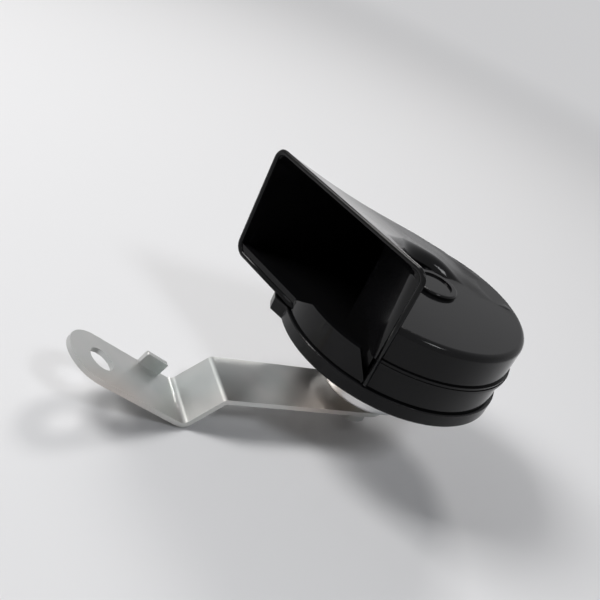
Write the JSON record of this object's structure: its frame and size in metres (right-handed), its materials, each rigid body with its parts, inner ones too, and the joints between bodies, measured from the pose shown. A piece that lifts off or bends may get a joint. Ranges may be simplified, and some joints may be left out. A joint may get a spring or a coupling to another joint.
{
  "type": "car horn",
  "caption": "Disc-type electric car horn with a coiled trumpet ending in a wide rectangular mouth, hung on a bent steel strip bracket.",
  "frame": {"origin": "centre of the bracket's bolt hole, on the strip's front face", "axes": "+Z along the horn's own axis towards its front face, +X from the bolt hole to the horn"},
  "size_m": [0.1683, 0.0916, 0.0937],
  "materials": {
    "shell_plastic": "moulded gloss black",
    "ring_paint": "gloss black lacquer on steel",
    "zinc_steel": "zinc-plated sheet steel",
    "turned_steel": "plain turned steel",
    "spring_steel": "blued spring steel",
    "gasket_rubber": "pressed rubber",
    "bobbin_plastic": "natural moulded plastic",
    "copper_wire": "enamelled copper wire",
    "contact_brass": "rolled brass strip",
    "contact_point": "tungsten point",
    "insulator_board": "laminated board",
    "connector_plastic": "matt black moulding",
    "resistor_body": "coated ceramic",
    "rivet_alloy": "tubular rivet"
  },
  "bodies": {
    "horn": {"front_shell": "shell_plastic", "rear_shell": "shell_plastic", "rim_ring": "ring_paint", "can": "zinc_steel", "bracket": "zinc_steel", "core_nut": "zinc_steel", "lock_washer": "zinc_steel", "bracket_nut": "zinc_steel", "fixed_core": "turned_steel", "coil_bobbin": "bobbin_plastic", "coil_winding": "copper_wire", "pole_plate": "turned_steel", "diaphragm": "spring_steel", "gasket": "gasket_rubber", "contact_insulator_lower": "insulator_board", "contact_insulator_upper": "insulator_board", "fixed_contact": "contact_brass", "fixed_contact_tip": "contact_point", "contact_spring": "contact_brass", "contact_spring_tip": "contact_point", "contact_rivets": "rivet_alloy", "adjusting_screw": "zinc_steel", "resistor": "resistor_body", "connector_body": "connector_plastic", "terminal_supply": "contact_brass", "terminal_ground": "contact_brass", "connector_rivets": "rivet_alloy", "coil_lead_terminal": "copper_wire", "coil_lead_contact": "copper_wire", "contact_lead": "copper_wire"},
    "armature": {"armature": "turned_steel", "armature_washer": "turned_steel", "armature_nut": "zinc_steel"}
  },
  "joints": [
    {"name": "armature_slide", "type": "slide", "parent": "horn", "child": "armature", "axis": [0, 0, 1], "range_m": [-0.0006, 0.0006], "stiffness_N_per_m": 2000, "deforming": ["diaphragm"]}
  ]
}
